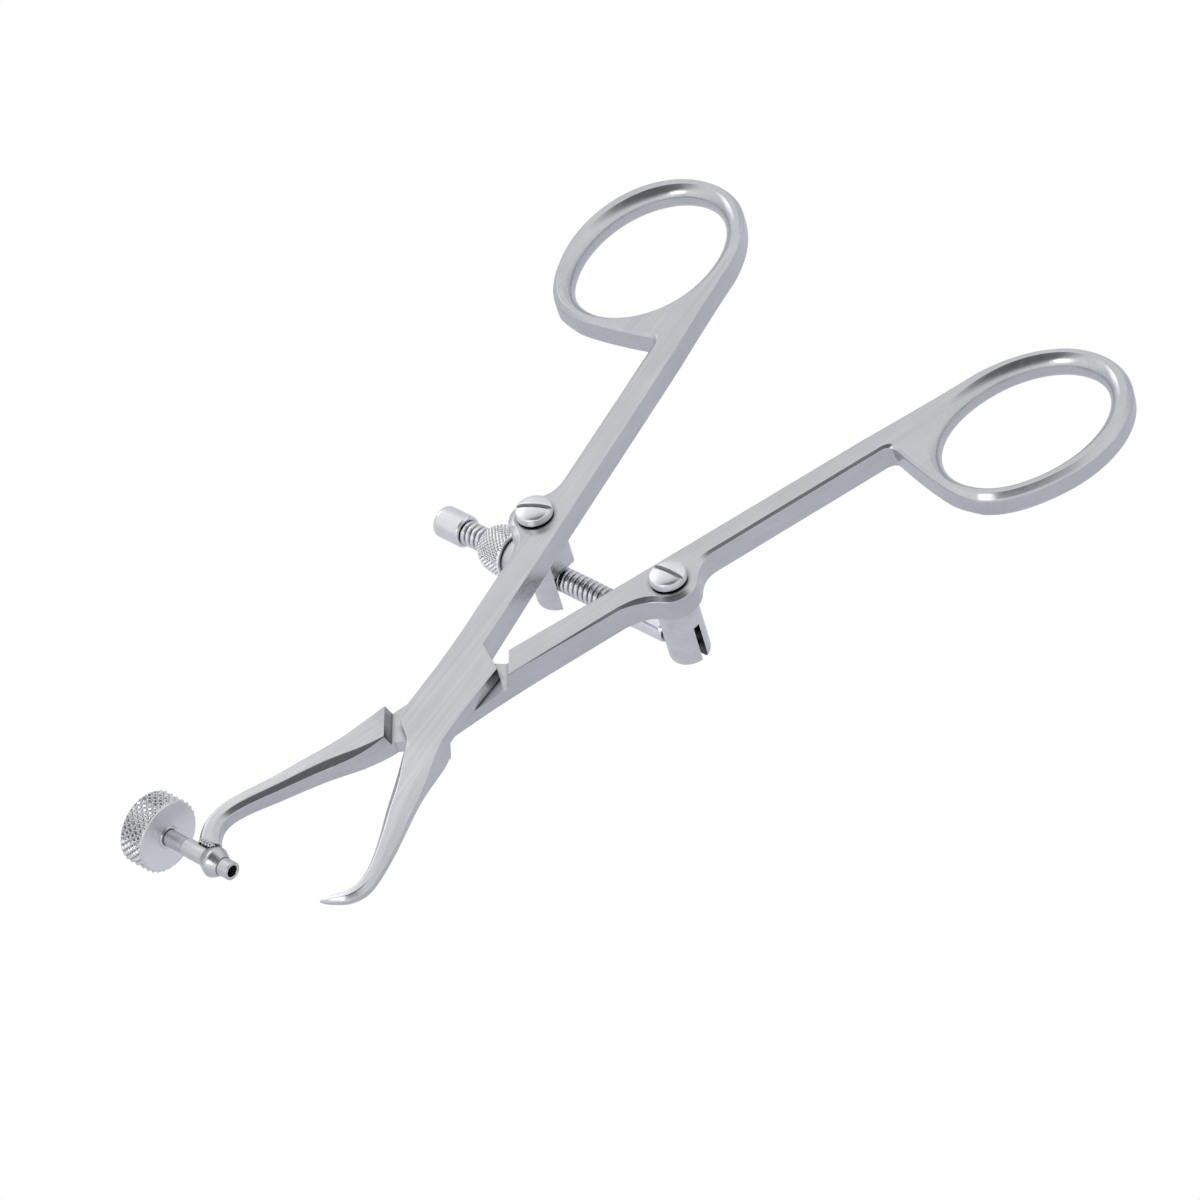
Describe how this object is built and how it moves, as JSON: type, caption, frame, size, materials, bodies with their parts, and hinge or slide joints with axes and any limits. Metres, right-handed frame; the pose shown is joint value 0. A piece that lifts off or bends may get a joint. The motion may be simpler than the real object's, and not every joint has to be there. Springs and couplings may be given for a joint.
{
  "type": "pointed bone reduction forceps",
  "caption": "Ring-handled lap-joint forceps with a pointed jaw, a drill guide jaw with a knurled sleeve, and a threaded spindle lock between the handles.",
  "frame": {"origin": "on the lap joint's rivet axis, in the plane of the arms' undersides", "axes": "+Y towards the finger rings, +Z to the screw heads, +X to the guide arm's ring"},
  "size_m": [0.1058, 0.1529, 0.0203],
  "materials": {
    "forged_arm": "satin brushed along the arms",
    "turned_steel": "fine turned satin",
    "polished_steel": "bright polished",
    "knurled_steel": "diamond knurled"
  },
  "bodies": {
    "point_side": {"point_arm": "forged_arm", "joint_rivet": "forged_arm"},
    "guide_side": {"guide_arm": "forged_arm", "guide_bush": "turned_steel"},
    "block": {"lock_block": "turned_steel", "lock_block_screw": "polished_steel"},
    "post": {"spindle_post": "turned_steel", "spindle_post_screw": "polished_steel", "spindle_cross_pin": "polished_steel"},
    "spindle": {"threaded_spindle": "polished_steel", "spindle_end_cap": "polished_steel"},
    "nut_travel": {"nut_collar": "turned_steel"},
    "nut": {"knurled_nut": "knurled_steel"},
    "sleeve": {"drill_sleeve": "turned_steel"},
    "knob": {"sleeve_knob": "knurled_steel"}
  },
  "joints": [
    {"name": "jaw_hinge", "type": "hinge", "parent": "point_side", "child": "guide_side", "pos_m": [0, 0, 0], "axis": [0, 0, -1], "range_deg": [-18, 5]},
    {"name": "post_swivel", "type": "hinge", "parent": "guide_side", "child": "post", "pos_m": [0.01387, 0.03413, 0], "axis": [0, 0, 1], "range_deg": [-9.5, 3]},
    {"name": "block_swivel", "type": "hinge", "parent": "point_side", "child": "block", "pos_m": [-0.01387, 0.03413, 0], "axis": [0, 0, 1], "range_deg": [-3, 9.5]},
    {"name": "spindle_swing", "type": "hinge", "parent": "post", "child": "spindle", "pos_m": [0.01387, 0.03413, -0.00805], "axis": [0, -1, 0], "range_deg": [0, 80]},
    {"name": "nut_slide", "type": "slide", "parent": "spindle", "child": "nut_travel", "axis": [1, 0, 0], "range_m": [-0.0032, 0.0114]},
    {"name": "nut_spin", "type": "hinge", "parent": "nut_travel", "child": "nut", "pos_m": [-0.02, 0.03413, -0.00805], "axis": [1, 0, 0], "continuous": true},
    {"name": "knob_spin", "type": "hinge", "parent": "sleeve", "child": "knob", "pos_m": [-0.02, -0.0426, 0.00225], "axis": [1, 0, 0], "continuous": true},
    {"name": "sleeve_slide", "type": "slide", "parent": "guide_side", "child": "sleeve", "axis": [1, 0, 0], "range_m": [-0.002, 0.0025]}
  ],
  "couplings": [
    {"joint": "post_swivel", "follows": "jaw_hinge", "ratio": 0.5},
    {"joint": "block_swivel", "follows": "jaw_hinge", "ratio": -0.5},
    {"joint": "nut_slide", "follows": "jaw_hinge", "m_per_rad": -0.034836},
    {"joint": "nut_spin", "follows": "jaw_hinge", "ratio": -218.88}
  ]
}
